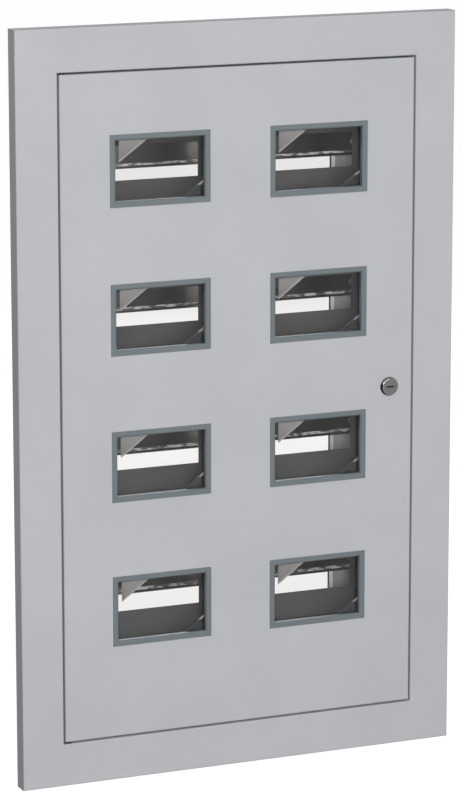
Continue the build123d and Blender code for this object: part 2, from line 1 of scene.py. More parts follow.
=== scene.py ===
"""Looks of a flush distribution board.

Gives every piece of the board its finish, models the fasteners, earth terminals and lock parts that stand
for plain solids, and sets up a plain studio with the camera.
"""

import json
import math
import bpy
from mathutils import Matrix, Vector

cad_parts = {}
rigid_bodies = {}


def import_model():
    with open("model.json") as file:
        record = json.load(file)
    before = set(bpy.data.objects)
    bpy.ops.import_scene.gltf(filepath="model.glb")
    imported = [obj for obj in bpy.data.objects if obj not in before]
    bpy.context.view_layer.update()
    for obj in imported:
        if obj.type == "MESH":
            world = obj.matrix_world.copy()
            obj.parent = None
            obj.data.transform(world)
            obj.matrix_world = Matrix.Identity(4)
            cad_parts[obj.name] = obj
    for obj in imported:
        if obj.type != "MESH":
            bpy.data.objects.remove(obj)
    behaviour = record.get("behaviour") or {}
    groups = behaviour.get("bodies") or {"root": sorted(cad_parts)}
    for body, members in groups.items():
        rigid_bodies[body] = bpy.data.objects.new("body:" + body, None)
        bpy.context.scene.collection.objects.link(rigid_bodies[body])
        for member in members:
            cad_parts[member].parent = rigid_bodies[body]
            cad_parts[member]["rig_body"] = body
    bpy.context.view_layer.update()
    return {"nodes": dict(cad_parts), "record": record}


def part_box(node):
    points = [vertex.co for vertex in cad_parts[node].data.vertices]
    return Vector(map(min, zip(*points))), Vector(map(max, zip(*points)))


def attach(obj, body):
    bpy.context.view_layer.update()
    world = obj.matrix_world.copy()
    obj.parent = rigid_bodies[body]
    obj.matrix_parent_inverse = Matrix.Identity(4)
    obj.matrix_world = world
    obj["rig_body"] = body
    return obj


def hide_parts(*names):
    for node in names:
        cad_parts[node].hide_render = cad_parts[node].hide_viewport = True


bl_info = {
    "name": "Distribution Board Looks",
    "version": (1, 0, 0),
    "blender": (4, 5, 0),
    "location": "View3D > Sidebar > Board",
    "description": "Finishes, fasteners, lock parts and studio for a flush distribution board",
    "category": "Object",
}

import bmesh
import bpy
from bpy.props import FloatProperty, FloatVectorProperty, IntProperty, PointerProperty
from mathutils import Vector

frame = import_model()

WHITE = (1.0, 1.0, 1.0, 1.0)
EVENLY = (1.0, 1.0, 1.0)
ORIGIN = (0.0, 0.0, 0.0)
TOWARDS_FRONT = math.pi / 2
TOWARDS_BACK = -math.pi / 2
SMOOTH_ANGLE = math.radians(35.0)
FACING = 0.5  # part of a face's normal along an axis, past which the face looks that way
WELD = 1e-6  # distance within which points become one
LAP = 0.0002  # overlap of a thread with its head
PAST = 0.001  # how far a cutter reaches past what it cuts

# Outline of a domed pan head from its crown to its seat, in shares of its radius and height.
PAN_HEAD = ((0.45, 0.0), (0.75, 0.12), (0.93, 0.35), (1.0, 0.6), (1.0, 1.0))

# Azimuth and elevation in degrees, and distance and size in metres, of each lamp.
LAMPS = {
    "key": (6.0, 20.0, 5.0, 3.0),
    "fill": (-20.0, 12.0, 5.0, 1.2),
    "rear": (166.0, 14.0, 5.0, 3.0),
    "glint": (-90.0, 50.0, 4.0, 1.0),
    "top_glint": (10.0, 75.0, 4.0, 0.6),
}


def colour_property(name, description, default):
    """Linear colour that a user may change."""
    return FloatVectorProperty(
        name=name, description=description, subtype="COLOR", size=3, min=0.0, max=1.0, default=default
    )


def length_property(name, description, default):
    """Length in metres that a user may change."""
    return FloatProperty(
        name=name, description=description, unit="LENGTH", min=0.0, default=default, precision=5
    )


def angle_property(name, description, degrees):
    """Angle that a user may change."""
    return FloatProperty(name=name, description=description, subtype="ANGLE", default=math.radians(degrees))


def factor_property(name, description, default):
    """Share from 0 to 1 that a user may change."""
    return FloatProperty(
        name=name, description=description, subtype="FACTOR", min=0.0, max=1.0, default=default, precision=4
    )


class BoardPaint(bpy.types.PropertyGroup):
    """Powder coat of the sheet steel."""

    front: colour_property("Front", "Coat of the trim frame and the door", (0.516, 0.524, 0.545))
    # Painted shade, in part: the body coat is darker than the front's, and the inner cover's coat is dark
    # grey, to stand for the shade inside the box.
    body: colour_property("Body", "Coat of the body panels", (0.40, 0.406, 0.421))
    cover: colour_property("Cover", "Coat of the inner cover", (0.080, 0.081, 0.082))
    drift: factor_property("Drift", "How far the tone of the coat drifts from place to place", 0.03)
    peel: length_property("Peel", "Size of the fine orange peel", 0.0016)
    peel_height: length_property("Peel height", "Height of the fine orange peel", 0.000025)
    roughness: factor_property("Roughness", "Roughness of the coat", 0.46)
    sheen: factor_property("Sheen", "Strength of the coat's reflection", 0.0005)


class BoardGlazing(bpy.types.PropertyGroup):
    """Windows in the door."""

    bezel: colour_property("Bezel", "Moulded window bezels", (0.135, 0.1615, 0.174))
    pane: colour_property("Pane", "Tint of the clear panes", (0.80, 0.795, 0.79))
    pane_ior: FloatProperty(
        name="Pane IOR", description="Refraction of the panes", min=1.0, max=2.0, default=1.3
    )
    # Painted light on the clips: the upper clips' colour is their lit tone, and the lower clips are near
    # black as painted shade. A painted highlight runs along the slant edge, and a painted glint lies at the
    # upper end of the lower clips' slant edge.
    clip: colour_property("Clip", "Bright upper clips", (0.252, 0.242, 0.244))
    clip_painted_shade: colour_property("Dark clip", "Blackened lower clips", (0.017, 0.017, 0.018))
    clip_length: length_property("Clip length", "Width of a clip", 0.0484)
    clip_height: length_property("Clip height", "Height of a clip", 0.0350)
    clip_painted_highlight_edge: length_property("Clip edge", "Width of the ground slant edge", 0.0022)
    clip_sheen: factor_property("Clip sheen", "Strength of the clips' reflection", 0.2)
    clip_painted_glint_tip: length_property("Clip tip", "Height of the bright tip of the lower clips", 0.0155)


class BoardMetal(bpy.types.PropertyGroup):
    """Bare and plated metal, and the plastics beside it."""

    zinc: colour_property("Zinc", "Zinc plated fasteners", (0.60, 0.61, 0.62))
    # The rail colour is darker than the fasteners' zinc, in part as painted shade inside the box. The fold
    # colour is a painted highlight along the rails' lower fold.
    rail: colour_property("Rail", "Zinc plated rails", (0.27, 0.27, 0.266))
    fold: colour_property("Fold", "Burnished lower folds of the rails", (0.95, 0.95, 0.94))
    fold_drop: length_property("Fold drop", "Lower fold's distance below the middle of a rail", 0.01275)
    painted_highlight_width: length_property("Fold width", "Width of the burnished line", 0.0023)
    brass: colour_property("Brass", "Terminal bars and their screws", (0.72, 0.52, 0.22))
    # Painted reflection: the lock's chrome is kept darker than bright chrome, and the side of its head, up to
    # the shade height, is near black, to stand for dark surroundings mirrored in it.
    chrome: colour_property("Chrome", "Crown of the lock's head", (0.20, 0.20, 0.204))
    chrome_painted_dark_side: colour_property("Chrome side", "Dark side of the lock's head", (0.012, 0.012, 0.012))
    crown: length_property("Crown", "Height of the bright crown of the lock's head", 0.0005)
    shade: length_property("Shade", "Height above the lock's middle up to which its side is dark", 0.0045)
    plug: colour_property("Plug", "Satin face of the lock plug", (0.150, 0.150, 0.147))
    # Painted shade: the shutter is near black so that the key slot looks shaded.
    shutter: colour_property("Shutter", "Shutter in the key slot", (0.014, 0.013, 0.010))
    trim: colour_property("Trim", "Legs of the open back's edge trim", (0.95, 0.95, 0.94))
    # Painted shade: the nose of the edge trim is near black.
    trim_painted_shade: colour_property("Trim nose", "Nose of the edge trim", (0.03, 0.03, 0.03))
    seal: colour_property("Seal", "Foam seal of the door", (0.018, 0.018, 0.019))
    # Painted shade: the bearing washer and the pivot pins are near black so that the door's corner gaps look
    # shaded.
    nylon: colour_property("Nylon", "Bearing washer", (0.025, 0.025, 0.026))
    pivot: colour_property("Pivot", "Blackened pivot pins", (0.045, 0.045, 0.047))
    insulator: colour_property("Insulator", "Carriers of the neutral bar", (0.05, 0.16, 0.42))


class BoardFasteners(bpy.types.PropertyGroup):
    """Shapes of the modelled fasteners."""

    sides: IntProperty(name="Sides", description="Sides of a turned piece", min=12, max=96, default=32)
    frame_shank: length_property("Frame screw shank", "Radius of the frame screws", 0.0024)
    frame_cone: length_property("Frame screw cone", "Height of the countersunk head", 0.0020)
    cover_shank: length_property("Cover screw shank", "Radius of the cover screws", 0.0020)
    cover_head: length_property("Cover screw head", "Height of the cover screws' heads", 0.0025)
    rail_shank: length_property("Rail screw shank", "Radius of the rail screws", 0.0024)
    rail_head: length_property("Rail screw head", "Height of the rail screws' heads", 0.0030)
    pitch: length_property("Thread pitch", "Pitch of the fasteners' threads", 0.0008)
    stud_pitch: length_property("Stud pitch", "Pitch of the earth studs' threads", 0.00125)
    washer_height: length_property("Washer height", "Height of the earth studs' washers", 0.0016)
    nut_flats: FloatProperty(
        name="Nut flats", description="Width of an earth nut over its stud's", default=1.625
    )
    lock_barrel: length_property("Lock barrel", "Radius of the lock's barrel in its nut", 0.00935)
    lock_flats: length_property("Lock flats", "Width over the flats of the lock's barrel", 0.016)
    lock_rim: length_property("Lock rim", "Radius of the flat rim of the lock's head", 0.0102)
    lock_bore: length_property("Lock bore", "Radius of the bore for the plug", 0.00805)
    lock_seat: length_property("Lock seat", "Depth of the recess for the plug's cap", 0.00195)
    lock_play: length_property("Lock play", "Play round the plug's cap", 0.00005)
    recess_depth: length_property("Recess depth", "Depth of the cross recesses", 0.0014)
    slot_width: length_property("Slot width", "Width of the terminal screws' slots", 0.0009)
    slot_depth: length_property("Slot depth", "Depth of the terminal screws' slots", 0.0011)


class BoardStudio(bpy.types.PropertyGroup):
    """Camera, light and floor."""

    azimuth: angle_property("Azimuth", "Camera's turn to the right", -23.47)
    elevation: angle_property("Elevation", "Camera's rise", 11.913)
    distance: length_property("Distance", "Camera's distance from the front face", 4.8275)
    lens: FloatProperty(name="Lens", description="Focal length in millimetres", min=1.0, default=164.88)
    shift_x: FloatProperty(name="Shift X", description="Sideways shift of the frame", default=-0.0107)
    shift_y: FloatProperty(name="Shift Y", description="Upward shift of the frame", default=-0.0007)
    ambient: factor_property("Ambient", "Level of the light from all round", 0.115)
    key: factor_property("Key", "Level of the key light on the front", 0.42)
    fill: factor_property("Fill", "Level of the soft light beside the camera", 0.44)
    rear: factor_property("Rear", "Level of the rear light on the back", 0.6)
    glint: factor_property("Glint", "Level of the small light at the upper left", 0.15)
    top_glint: factor_property("Top glint", "Level of the small light overhead", 0.05)
    floor: colour_property("Floor", "Pale floor", (0.34, 0.34, 0.34))
    floor_drop: length_property("Floor drop", "Floor's distance below the board", 0.35)
    floor_size: length_property("Floor size", "Side of the floor", 60.0)
    floor_glow: factor_property("Floor glow", "White that the floor shows by itself", 0.975)
    floor_shade: factor_property("Floor shade", "How much of its own light and shadow the floor shows", 0.12)


def nodes_with(slot):
    """CAD objects that take their finish from a material slot of the record."""
    rows = frame["record"]["subparts"]
    return [frame["nodes"][row["node"]] for row in rows if row["material_slot"] == slot]


def dress(slot, material):
    """Give a finish to every CAD object of a slot."""
    for piece in nodes_with(slot):
        piece.data.materials.clear()
        piece.data.materials.append(material)


def new_finish(name, colour, roughness, metallic=0.0):
    """Material with one Principled shader."""
    material = bpy.data.materials.new(name)
    material.use_nodes = True
    shader = material.node_tree.nodes["Principled BSDF"]
    shader.inputs["Base Color"].default_value = (*colour, 1.0)
    shader.inputs["Roughness"].default_value = roughness
    shader.inputs["Metallic"].default_value = metallic
    return material, material.node_tree, shader


def object_place(tree, scale=EVENLY, centre=ORIGIN):
    """Object coordinates, counted from a centre and stretched along the axes."""
    place = tree.nodes.new("ShaderNodeTexCoord")
    mapping = tree.nodes.new("ShaderNodeMapping")
    mapping.inputs["Location"].default_value = [-middle * factor for middle, factor in zip(centre, scale)]
    mapping.inputs["Scale"].default_value = scale
    tree.links.new(place.outputs["Object"], mapping.inputs["Vector"])
    return mapping.outputs["Vector"]


def object_axes(tree, centre=ORIGIN):
    """X, Y and Z of the object coordinates, counted from a centre."""
    axes = tree.nodes.new("ShaderNodeSeparateXYZ")
    tree.links.new(object_place(tree, centre=centre), axes.inputs["Vector"])
    return axes.outputs


def noise(tree, feature, detail, stretch=EVENLY):
    """Noise with features of a given size in metres."""
    texture = tree.nodes.new("ShaderNodeTexNoise")
    texture.inputs["Scale"].default_value = 1.0 / feature
    texture.inputs["Detail"].default_value = detail
    tree.links.new(object_place(tree, stretch), texture.inputs["Vector"])
    return texture.outputs["Fac"]


def shades(tree, factor, low, high, start=0.3, end=0.7):
    """Colour that runs from one shade to another with a factor."""
    ramp = tree.nodes.new("ShaderNodeValToRGB")
    first, last = ramp.color_ramp.elements
    first.position, last.position = start, end
    first.color, last.color = (*low, 1.0), (*high, 1.0)
    tree.links.new(factor, ramp.inputs["Fac"])
    return ramp.outputs["Color"]


def between(tree, factor, low, high, start=0.0, end=1.0):
    """Number that runs from low to high as a factor goes from start to end."""
    reach = tree.nodes.new("ShaderNodeMapRange")
    reach.inputs["From Min"].default_value = start
    reach.inputs["From Max"].default_value = end
    reach.inputs["To Min"].default_value = low
    reach.inputs["To Max"].default_value = high
    tree.links.new(factor, reach.inputs["Value"])
    return reach.outputs["Result"]


def raise_surface(tree, shader, height, distance, strength):
    """Bump a surface by a height of up to a distance."""
    bump = tree.nodes.new("ShaderNodeBump")
    bump.inputs["Strength"].default_value = strength
    bump.inputs["Distance"].default_value = distance
    tree.links.new(height, bump.inputs["Height"])
    tree.links.new(bump.outputs["Normal"], shader.inputs["Normal"])


def scaled(colour, factor):
    """Lighter or darker shade of a colour."""
    return [min(1.0, part * factor) for part in colour]


def drifting(tree, colour, feature, amount, stretch=EVENLY):
    """Colour that drifts a little from place to place."""
    factor = noise(tree, feature, detail=3.0, stretch=stretch)
    return shades(tree, factor, scaled(colour, 1.0 - amount), scaled(colour, 1.0 + amount))


def drift_colour(tree, shader, colour, feature, amount, stretch=EVENLY):
    """Let a shader's colour drift a little from place to place."""
    tree.links.new(drifting(tree, colour, feature, amount, stretch), shader.inputs["Base Color"])


def vary_roughness(tree, shader, feature, roughness, spread, stretch=EVENLY):
    """Let a shader's roughness drift about a value."""
    factor = noise(tree, feature, detail=3.0, stretch=stretch)
    tree.links.new(
        between(tree, factor, roughness - spread, roughness + spread), shader.inputs["Roughness"]
    )


def powder_coat(name, colour, paint):
    """Textured powder coat on sheet steel."""
    material, tree, shader = new_finish(name, colour, paint.roughness)
    shader.inputs["Specular IOR Level"].default_value = paint.sheen
    drift_colour(tree, shader, colour, feature=0.11, amount=paint.drift)
    vary_roughness(tree, shader, feature=0.006, roughness=paint.roughness, spread=0.05)
    raise_surface(tree, shader, noise(tree, paint.peel, detail=1.0), paint.peel_height, strength=0.5)
    return material


def mould_grain(tree, shader):
    """Fine spark-eroded grain that a mould or die leaves."""
    grain = noise(tree, feature=0.0007, detail=1.0)
    raise_surface(tree, shader, grain, distance=0.00002, strength=0.6)


def moulded(name, colour, roughness):
    """Moulded plastic."""
    material, tree, shader = new_finish(name, colour, roughness)
    drift_colour(tree, shader, colour, feature=0.03, amount=0.03)
    vary_roughness(tree, shader, feature=0.004, roughness=roughness, spread=0.04)
    mould_grain(tree, shader)
    return material


def foam_rubber(name, colour):
    """Cellular rubber with open pores."""
    material, tree, shader = new_finish(name, colour, roughness=0.9)
    drift_colour(tree, shader, colour, feature=0.002, amount=0.25)
    pores = noise(tree, feature=0.0008, detail=3.0)
    raise_surface(tree, shader, pores, distance=0.00015, strength=0.8)
    return material


def plated(name, colour, roughness, stretch=EVENLY, uneven=1.0):
    """Plated metal, with fine drawing marks where it is stretched along an axis."""
    material, tree, shader = new_finish(name, colour, roughness, metallic=1.0)
    drift_colour(tree, shader, colour, feature=0.008, amount=0.06 * uneven, stretch=stretch)
    vary_roughness(tree, shader, feature=0.003, roughness=roughness, spread=0.07 * uneven, stretch=stretch)
    marks = noise(tree, feature=0.0009, detail=2.0, stretch=stretch)
    raise_surface(tree, shader, marks, distance=0.00001, strength=0.5 * uneven)
    return material


def turned_face(name, colour, roughness, centre):
    """Satin metal with the rings that a lathe leaves, about an axis along the depth."""
    material, tree, shader = new_finish(name, colour, roughness, metallic=1.0)
    rings = tree.nodes.new("ShaderNodeTexWave")
    rings.wave_type = "RINGS"
    rings.rings_direction = "Y"
    rings.inputs["Scale"].default_value = 400.0
    rings.inputs["Distortion"].default_value = 0.6
    tree.links.new(object_place(tree, centre=centre), rings.inputs["Vector"])
    vary_roughness(tree, shader, feature=0.002, roughness=roughness, spread=0.06)
    raise_surface(tree, shader, rings.outputs["Fac"], distance=0.00001, strength=0.6)
    return material


def chrome_with_painted_dark_side(name, metal, front):
    """Chrome with painted reflection: bright on the crown and top, near black on the side below a height,
    about the middle of the front.
    """
    material = plated(name, metal.chrome, roughness=0.10)
    tree = material.node_tree
    shader = tree.nodes["Principled BSDF"]
    axes = object_axes(tree)
    edge, top = front.y + metal.crown, front.z + metal.shade
    edge_blur, top_blur = 0.0003, 0.0012
    # Painted reflection: behind the crown and below the shade height, the side takes the near black colour by
    # its place.
    behind = between(tree, axes["Y"], 0.0, 1.0, edge - edge_blur, edge + edge_blur)
    below = between(tree, axes["Z"], 1.0, 0.0, top - top_blur, top + top_blur)
    side = calculate(tree, "MULTIPLY", behind, below)
    crown = shader.inputs["Base Color"].links[0].from_socket
    tree.links.new(mix_colours(tree, side, crown, metal.chrome_painted_dark_side), shader.inputs["Base Color"])
    return material


def clear_sheet(name, colour, ior):
    """Clear window sheet with faint smears, which lets the lamps through."""
    smear = 0.015
    material, tree, shader = new_finish(name, colour, roughness=smear)
    shader.inputs["Transmission Weight"].default_value = 1.0
    shader.inputs["IOR"].default_value = ior
    vary_roughness(tree, shader, feature=0.02, roughness=smear, spread=smear)
    clear = tree.nodes.new("ShaderNodeBsdfTransparent")
    clear.inputs["Color"].default_value = (*[math.sqrt(part) for part in colour], 1.0)
    lamp_rays = tree.nodes.new("ShaderNodeLightPath").outputs["Is Shadow Ray"]
    shown = mix_shaders(tree, lamp_rays, shader.outputs[0], clear.outputs[0])
    tree.links.new(shown, tree.nodes["Material Output"].inputs["Surface"])
    return material


def mix_shaders(tree, factor, first, second):
    """Shader that goes from the first to the second with a factor."""
    mix = tree.nodes.new("ShaderNodeMixShader")
    tree.links.new(factor, mix.inputs[0])
    tree.links.new(first, mix.inputs[1])
    tree.links.new(second, mix.inputs[2])
    return mix.outputs[0]


def calculate(tree, operation, *values):
    """Result of one Math node on numbers and sockets."""
    node = tree.nodes.new("ShaderNodeMath")
    node.operation = operation
    for socket, value in zip(node.inputs, values):
        if isinstance(value, float):
            socket.default_value = value
        else:
            tree.links.new(value, socket)
    return node.outputs["Value"]


def mix_colours(tree, factor, first, second):
    """Colour that goes from the first to the second with a factor; each is a colour or a socket."""
    mix = tree.nodes.new("ShaderNodeMix")
    mix.data_type = "RGBA"
    tree.links.new(factor, mix.inputs["Factor"])
    colour_a, colour_b, colour_result = mix.inputs[6], mix.inputs[7], mix.outputs[2]
    for socket, value in ((colour_a, first), (colour_b, second)):
        if isinstance(value, bpy.types.NodeSocket):
            tree.links.new(value, socket)
        else:
            socket.default_value = (*value, 1.0)
    return colour_result


def clip_place(tree):
    """Place on a clip, counted from the middle of its window's pair.

    Gives the run to the right, the rise, and 1 on the upper clips. Lower clips are turned onto upper ones.
    """
    boxes = [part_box(f"pane_clips_{number}") for number in (1, 2, 3)]
    first, beside, below = [(lo + hi) / 2 for lo, hi in boxes]
    column, row = (beside.x - first.x) / 2, (first.z - below.z) / 2
    axes = object_axes(tree, first)
    across = calculate(tree, "WRAP", axes["X"], column, -column)
    above = calculate(tree, "WRAP", axes["Z"], row, -row)
    run = calculate(tree, "MULTIPLY", across, calculate(tree, "SIGN", above))
    rise = calculate(tree, "ABSOLUTE", above)
    return run, rise, calculate(tree, "GREATER_THAN", above, 0.0)


def clip_sheet(name, glazing):
    """Clip sheet with painted light: its lit tone at a window's upper corner, darker towards the foot, near
    black as painted shade at its lower one, with a painted highlight along the slant edge.
    """
    roughness, painted_foot_shade_share, painted_highlight_share, painted_glint_share = 0.42, 0.6, 1.2, 0.95
    material, tree, shader = new_finish(name, glazing.clip, roughness)
    shader.inputs["Specular IOR Level"].default_value = glazing.clip_sheen
    lo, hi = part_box("pane_clips_1")
    half = (hi - lo) / 2
    start = Vector((-half.x, half.z - glazing.clip_height))
    outwards = Vector((glazing.clip_height, -glazing.clip_length)).normalized()
    run, rise, upper = clip_place(tree)
    along = calculate(tree, "MULTIPLY_ADD", run, -outwards.x, outwards.dot(start))
    inside = calculate(tree, "MULTIPLY_ADD", rise, -outwards.y, along)
    edge = calculate(tree, "LESS_THAN", inside, glazing.clip_painted_highlight_edge)
    tip = calculate(tree, "LESS_THAN", rise, start.y + glazing.clip_painted_glint_tip)
    fade = between(tree, rise, 0.0, 1.0, start.y, half.z)
    # Painted shade: the upper clips darken towards their foot.
    sheet = shades(tree, fade, scaled(glazing.clip, painted_foot_shade_share), glazing.clip, start=0.2, end=0.9)
    painted_highlight = scaled(glazing.clip, painted_highlight_share)
    # Painted highlight along the slant edge of the upper clips.
    bright = mix_colours(tree, edge, sheet, painted_highlight)
    # Painted glint at the upper end of the lower clips' slant edge; the rest of the lower clips is painted
    # shade.
    painted_glint = calculate(tree, "MULTIPLY", edge, tip)
    dark = mix_colours(tree, painted_glint, glazing.clip_painted_shade, scaled(painted_highlight, painted_glint_share))
    tree.links.new(mix_colours(tree, upper, dark, bright), shader.inputs["Base Color"])
    vary_roughness(tree, shader, feature=0.003, roughness=roughness, spread=0.06)
    return material


def rail_with_painted_highlight(name, metal, along):
    """Plated rail with a painted highlight: an uneven bright line along its lower fold."""
    material = plated(name, metal.rail, roughness=0.24, stretch=along, uneven=0.05)
    tree = material.node_tree
    shader = tree.nodes["Principled BSDF"]
    first, below = [(lo + hi) / 2 for lo, hi in (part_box("din_rail_1"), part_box("din_rail_2"))]
    half_pitch = abs(first.z - below.z) / 2
    height = calculate(tree, "WRAP", object_axes(tree, first)["Z"], half_pitch, -half_pitch)
    off_fold = calculate(tree, "ABSOLUTE", calculate(tree, "ADD", height, metal.fold_drop))
    # Painted highlight: a broken bright line along the lower fold, with no metal there.
    line = between(tree, off_fold, 1.0, 0.0, start=0.4 * metal.painted_highlight_width, end=0.5 * metal.painted_highlight_width)
    patches = noise(tree, feature=0.012, detail=1.0)
    uneven = between(tree, patches, low=0.3, high=1.0, start=0.42, end=0.58)
    share = calculate(tree, "MULTIPLY", line, uneven)
    plate = shader.inputs["Base Color"].links[0].from_socket
    tree.links.new(mix_colours(tree, share, plate, metal.fold), shader.inputs["Base Color"])
    tree.links.new(between(tree, share, 1.0, 0.0), shader.inputs["Metallic"])
    return material


def trim_with_painted_shade(name, pale, dark):
    """Extruded edge trim: pale legs, and a nose towards the opening that is near black as painted shade."""
    roughness, sheen, leg_facing = 0.6, 0.05, 0.7
    material, tree, shader = new_finish(name, pale, roughness)
    shader.inputs["Specular IOR Level"].default_value = sheen
    surface = tree.nodes.new("ShaderNodeNewGeometry")
    axes = tree.nodes.new("ShaderNodeSeparateXYZ")
    tree.links.new(surface.outputs["True Normal"], axes.inputs["Vector"])
    # Faces along the depth are the pale legs; the rest, the nose, takes the painted shade.
    leg = calculate(tree, "GREATER_THAN", calculate(tree, "ABSOLUTE", axes.outputs["Y"]), leg_facing)
    pale_tone = drifting(tree, pale, feature=0.03, amount=0.03)
    tree.links.new(mix_colours(tree, leg, dark, pale_tone), shader.inputs["Base Color"])
    vary_roughness(tree, shader, feature=0.004, roughness=roughness, spread=0.05)
    mould_grain(tree, shader)
    return material


def object_mode():
    """Leave edit mode with nothing selected."""
    if bpy.context.object and bpy.context.object.mode != "OBJECT":
        bpy.ops.object.mode_set(mode="OBJECT")
    bpy.ops.object.select_all(action="DESELECT")


def new_piece(name, add, **size):
    """Add a primitive at the origin and open it for editing, all selected."""
    object_mode()
    add(**size)
    piece = bpy.context.active_object
    piece.name = name
    piece.data.name = name
    bpy.ops.object.mode_set(mode="EDIT")
    bpy.ops.mesh.select_all(action="SELECT")
    return piece


def close_edit():
    """Weld, turn all faces outwards and leave edit mode."""
    bpy.ops.mesh.select_all(action="SELECT")
    bpy.ops.mesh.remove_doubles(threshold=WELD)
    bpy.ops.mesh.normals_make_consistent(inside=False)
    object_mode()


def make_active(piece):
    """Select one object alone."""
    object_mode()
    piece.select_set(True)
    bpy.context.view_layer.objects.active = piece


def select_faces(test):
    """Select the faces of the open mesh that pass a test."""
    shape = bmesh.from_edit_mesh(bpy.context.edit_object.data)
    for face in shape.faces:
        face.select_set(test(face))
    shape.select_flush_mode()
    bmesh.update_edit_mesh(bpy.context.edit_object.data)


def extrude(step):
    """Extrude what is selected by a step."""
    bpy.ops.mesh.extrude_region_move(TRANSFORM_OT_translate={"value": step})


def turned(name, profile, sides):
    """Solid turned about Z: a disc that is extruded and resized along (radius, height) steps."""
    radius, height = profile[0]
    disc = {"vertices": sides, "radius": radius, "fill_type": "NGON"}
    piece = new_piece(name, bpy.ops.mesh.primitive_circle_add, **disc)
    bpy.ops.transform.translate(value=(0.0, 0.0, height))
    for next_radius, next_height in profile[1:]:
        extrude((0.0, 0.0, next_height - height))
        share = next_radius / radius
        bpy.ops.transform.resize(value=(share, share, 1.0), center_override=(0.0, 0.0, next_height))
        radius, height = next_radius, next_height
    close_edit()
    return piece


def carve(piece, cutter, operation="DIFFERENCE"):
    """Cut one piece with another, which is used up."""
    make_active(piece)
    cut = piece.modifiers.new("Cut", "BOOLEAN")
    cut.object = cutter
    cut.operation = operation
    cut.solver = "EXACT"
    cut.use_self = True
    bpy.ops.object.modifier_apply(modifier=cut.name)
    bpy.data.objects.remove(cutter)


def bore(piece, radius, height, sides):
    """Bore a piece through from Z 0 down."""
    carve(piece, turned("bore", [(radius, PAST), (radius, -height - PAST)], sides))


def join(first, *others):
    """Join pieces into the first one."""
    make_active(first)
    for other in others:
        other.select_set(True)
    bpy.ops.object.join()
    return first


def blade(width, thickness, depth, narrowing):
    """Driver blade that narrows downwards, centred on the top of a screw head."""
    cutter = new_piece("driver_blade", bpy.ops.mesh.primitive_cube_add, size=1.0)
    bpy.ops.transform.resize(value=(width, thickness, 2.0 * depth))
    select_faces(lambda face: face.normal.z < -FACING)
    bpy.ops.transform.resize(value=(narrowing, 1.0, 1.0), center_override=(0.0, 0.0, -depth))
    return cutter


def cross_blade(width, depth):
    """Two crossed driver blades."""
    cutter = blade(width, thickness=width / 4, depth=depth, narrowing=0.45)
    bpy.ops.mesh.select_all(action="SELECT")
    bpy.ops.mesh.duplicate()
    bpy.ops.transform.rotate(value=math.pi / 2, orient_axis="Z", center_override=ORIGIN)
    close_edit()
    return cutter


def slot_blade(width, thickness, depth):
    """Straight driver blade."""
    cutter = blade(width, thickness, depth, narrowing=1.0)
    close_edit()
    return cutter


def threaded_rod(name, radius, pitch, start, length):
    """Rod below a start height with a helical thread, wound from one turn of its outline."""
    crest, steps_per_turn = 0.54 * pitch, 20
    turns = max(1, int(length / pitch) - 1)
    rod = new_piece(name, bpy.ops.mesh.primitive_plane_add, size=pitch)
    bpy.ops.mesh.merge(type="CENTER")
    bpy.ops.transform.translate(value=(radius - crest, 0.0, start - length))
    extrude((crest, 0.0, pitch / 2))
    extrude((-crest, 0.0, pitch / 2))
    object_mode()
    winding = rod.modifiers.new("Winding", "SCREW")
    winding.screw_offset = pitch
    winding.iterations = turns
    winding.steps = winding.render_steps = steps_per_turn
    make_active(rod)
    bpy.ops.object.modifier_apply(modifier=winding.name)
    bpy.ops.object.mode_set(mode="EDIT")
    bpy.ops.mesh.select_all(action="SELECT")
    bpy.ops.mesh.remove_doubles(threshold=WELD)
    bpy.ops.mesh.fill_holes(sides=0)
    close_edit()
    return rod


def chamfered_hexagon(name, flats, height, sides):
    """Hexagon with its corners chamfered at the top, below Z 0."""
    corner = flats / math.sqrt(3.0)
    piece = new_piece(name, bpy.ops.mesh.primitive_cylinder_add, vertices=6, radius=corner, depth=height)
    bpy.ops.transform.translate(value=(0.0, 0.0, -height / 2))
    bpy.ops.transform.rotate(value=math.pi / 6, orient_axis="Z", center_override=ORIGIN)
    close_edit()
    rim, outside, slope = 0.47 * flats, 1.02 * corner, math.radians(30.0)
    fall = (outside - rim) * math.tan(slope)
    blank = [(rim, 0.0), (outside, -fall), (outside, -height - PAST)]
    carve(piece, turned("chamfer_cone", blank, 2 * sides), "INTERSECT")
    return piece


def solid_boxes(node):
    """Lowest and highest corner of each separate solid of a CAD node, from the bottom row up."""
    shape = bmesh.new()
    shape.from_mesh(frame["nodes"][node].data)
    bmesh.ops.remove_doubles(shape, verts=shape.verts, dist=WELD)
    waiting = set(shape.verts)
    boxes = []
    while waiting:
        reached = [waiting.pop()]
        found = []
        while reached:
            vertex = reached.pop()
            found.append(vertex.co.copy())
            linked = {edge.other_vert(vertex) for edge in vertex.link_edges} & waiting
            waiting -= linked
            reached.extend(linked)
        boxes.append((Vector(map(min, *found)), Vector(map(max, *found))))
    shape.free()
    return sorted(boxes, key=lambda box: (round(box[0].z, 4), round(box[0].x, 4)))


def on_axis(lo, hi, depth):
    """Middle of a box as seen from the front, at a depth."""
    return Vector(((lo.x + hi.x) / 2, depth, (lo.z + hi.z) / 2))


def front_places(node):
    """Middle of the front end of each solid of a CAD node."""
    return [on_axis(lo, hi, lo.y) for lo, hi in solid_boxes(node)]


def first_sizes(node):
    """Radius across X and length along Y of the first solid of a CAD node."""
    lo, hi = solid_boxes(node)[0]
    return (hi.x - lo.x) / 2, hi.y - lo.y


